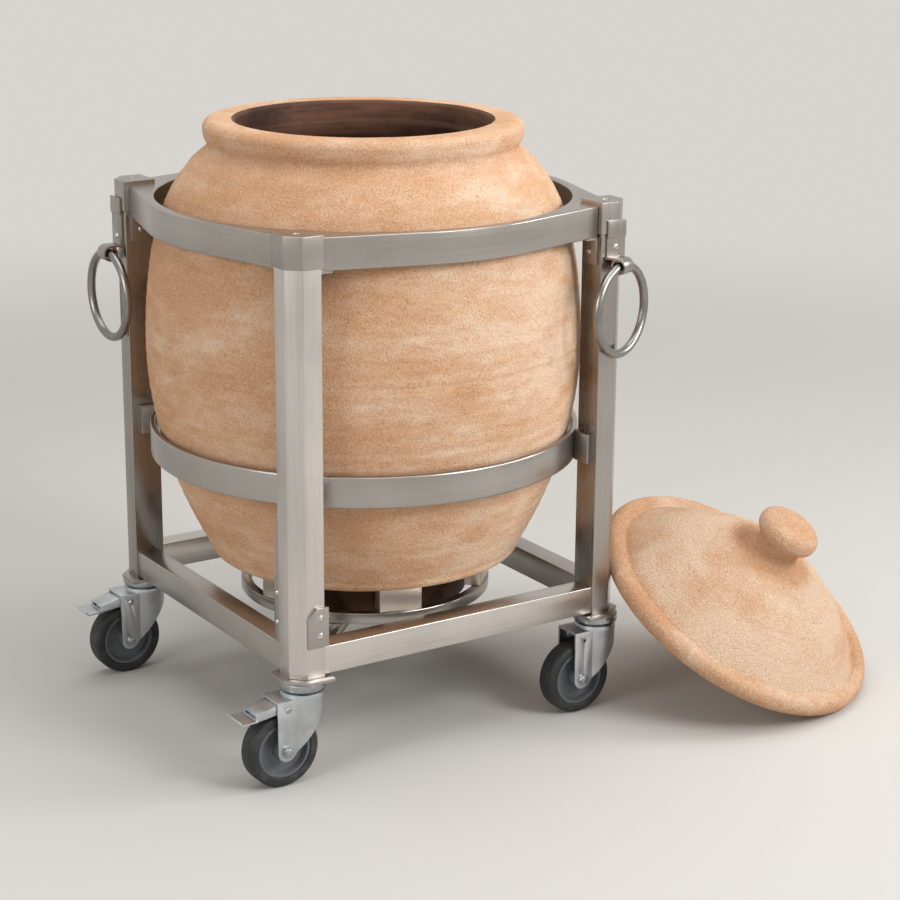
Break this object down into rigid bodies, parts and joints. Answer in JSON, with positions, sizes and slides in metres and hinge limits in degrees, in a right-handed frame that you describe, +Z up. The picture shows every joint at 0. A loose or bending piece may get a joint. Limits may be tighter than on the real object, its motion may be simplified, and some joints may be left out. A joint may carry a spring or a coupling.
{
  "type": "clay tandoor oven",
  "caption": "Portable charcoal tandoor: a thrown clay pot held by rings in a square stainless frame on swivel castors, with its knobbed clay lid leaning beside it.",
  "frame": {"origin": "on the floor, under the middle of the pot", "axes": "+Z up along the pot's axis; the four posts stand on the XY diagonals, the front post at -X -Y and the right post, which the lid leans on, at +X -Y"},
  "size_m": [1.0131, 0.7711, 0.824],
  "materials": {
    "pot_clay": "unglazed fired clay, gritty, faint throwing rings and orange bands",
    "lid_clay": "unglazed fired clay, more orange at the rim",
    "cast_iron": "rough casting blackened by fire",
    "pan_sheet": "steel sheet darkened by heat and ash",
    "stainless_tube": "stainless tube brushed along its length",
    "stainless_ring": "stainless strip brushed round the ring, rubbed-bright edges",
    "stainless_plate": "stainless sheet, brushed",
    "stainless_fixing": "bright fixings",
    "stainless_rod": "polished stainless rod",
    "castor_zinc": "bright zinc plate with a blue cast",
    "pedal_zinc": "bright zinc plate with a blue cast",
    "bolt_zinc": "zinc-plated steel",
    "wheel_core": "moulded dark plastic",
    "tyre": "solid black rubber"
  },
  "bodies": {
    "frame": {"clay_pot": "pot_clay", "charcoal_grate": "cast_iron", "ash_pan": "pan_sheet", "top_ring": "stainless_ring", "middle_ring": "stainless_ring", "cradle_ring": "stainless_ring", "support_blocks": "stainless_plate", "cradle_beam": "stainless_ring", "post_front": "stainless_tube", "post_right": "stainless_tube", "post_back": "stainless_tube", "post_left": "stainless_tube", "rail_front_right": "stainless_tube", "rail_back_right": "stainless_tube", "rail_back_left": "stainless_tube", "rail_front_left": "stainless_tube", "post_caps": "stainless_plate", "ring_brackets": "stainless_plate", "bracket_screws": "stainless_fixing", "ring_tabs": "stainless_plate", "corner_plates": "stainless_plate", "plate_rivets": "stainless_fixing", "foot_plates": "stainless_plate", "castor_heads": "castor_zinc", "kingpins": "bolt_zinc", "strap_left": "stainless_plate", "strap_right": "stainless_plate", "strap_rivets": "stainless_fixing"},
    "castor_front": {"fork_front": "castor_zinc", "axle_front": "bolt_zinc", "pedal_pin_front": "bolt_zinc"},
    "wheel_front": {"core_front": "wheel_core", "tyre_front": "tyre"},
    "castor_right": {"fork_right": "castor_zinc", "axle_right": "bolt_zinc"},
    "wheel_right": {"core_right": "wheel_core", "tyre_right": "tyre"},
    "castor_back": {"fork_back": "castor_zinc", "axle_back": "bolt_zinc"},
    "wheel_back": {"core_back": "wheel_core", "tyre_back": "tyre"},
    "castor_left": {"fork_left": "castor_zinc", "axle_left": "bolt_zinc", "pedal_pin_left": "bolt_zinc"},
    "wheel_left": {"core_left": "wheel_core", "tyre_left": "tyre"},
    "brake_front": {"pedal_front": "pedal_zinc"},
    "brake_left": {"pedal_left": "pedal_zinc"},
    "handle_right": {"grip_right": "stainless_rod"},
    "handle_left": {"grip_left": "stainless_rod"},
    "lid": {"clay_lid": "lid_clay"}
  },
  "joints": [
    {"name": "swivel_front", "type": "hinge", "parent": "frame", "child": "castor_front", "pos_m": [-0.23625, -0.23625, 0.13], "axis": [0, 0, 1], "continuous": true},
    {"name": "spin_front", "type": "hinge", "parent": "castor_front", "child": "wheel_front", "pos_m": [-0.27125, -0.23625, 0.051], "axis": [0, 1, 0], "continuous": true},
    {"name": "swivel_right", "type": "hinge", "parent": "frame", "child": "castor_right", "pos_m": [0.23625, -0.23625, 0.13], "axis": [0, 0, 1], "continuous": true},
    {"name": "spin_right", "type": "hinge", "parent": "castor_right", "child": "wheel_right", "pos_m": [0.20125, -0.23625, 0.051], "axis": [0, 1, 0], "continuous": true},
    {"name": "swivel_back", "type": "hinge", "parent": "frame", "child": "castor_back", "pos_m": [0.23625, 0.23625, 0.13], "axis": [0, 0, 1], "continuous": true},
    {"name": "spin_back", "type": "hinge", "parent": "castor_back", "child": "wheel_back", "pos_m": [0.20125, 0.23625, 0.051], "axis": [0, 1, 0], "continuous": true},
    {"name": "swivel_left", "type": "hinge", "parent": "frame", "child": "castor_left", "pos_m": [-0.23625, 0.23625, 0.13], "axis": [0, 0, 1], "continuous": true},
    {"name": "spin_left", "type": "hinge", "parent": "castor_left", "child": "wheel_left", "pos_m": [-0.27125, 0.23625, 0.051], "axis": [0, 1, 0], "continuous": true},
    {"name": "brake_front", "type": "hinge", "parent": "castor_front", "child": "brake_front", "pos_m": [-0.26825, -0.23625, 0.109], "axis": [0, -1, 0], "range_deg": [0, 9]},
    {"name": "brake_left", "type": "hinge", "parent": "castor_left", "child": "brake_left", "pos_m": [-0.26825, 0.23625, 0.109], "axis": [0, -1, 0], "range_deg": [0, 9]},
    {"name": "handle_right", "type": "hinge", "parent": "frame", "child": "handle_right", "pos_m": [0.23625, -0.27625, 0.643], "axis": [-0.9272, -0.3746, 0], "range_deg": [0, 120]},
    {"name": "handle_left", "type": "hinge", "parent": "frame", "child": "handle_left", "pos_m": [-0.27625, 0.23625, 0.625], "axis": [0, 1, 0], "range_deg": [0, 120]},
    {"name": "lid_lift", "type": "slide", "parent": "frame", "child": "lid", "axis": [0.2488, -0.4679, 0.848], "range_m": [0, 0.35]}
  ]
}
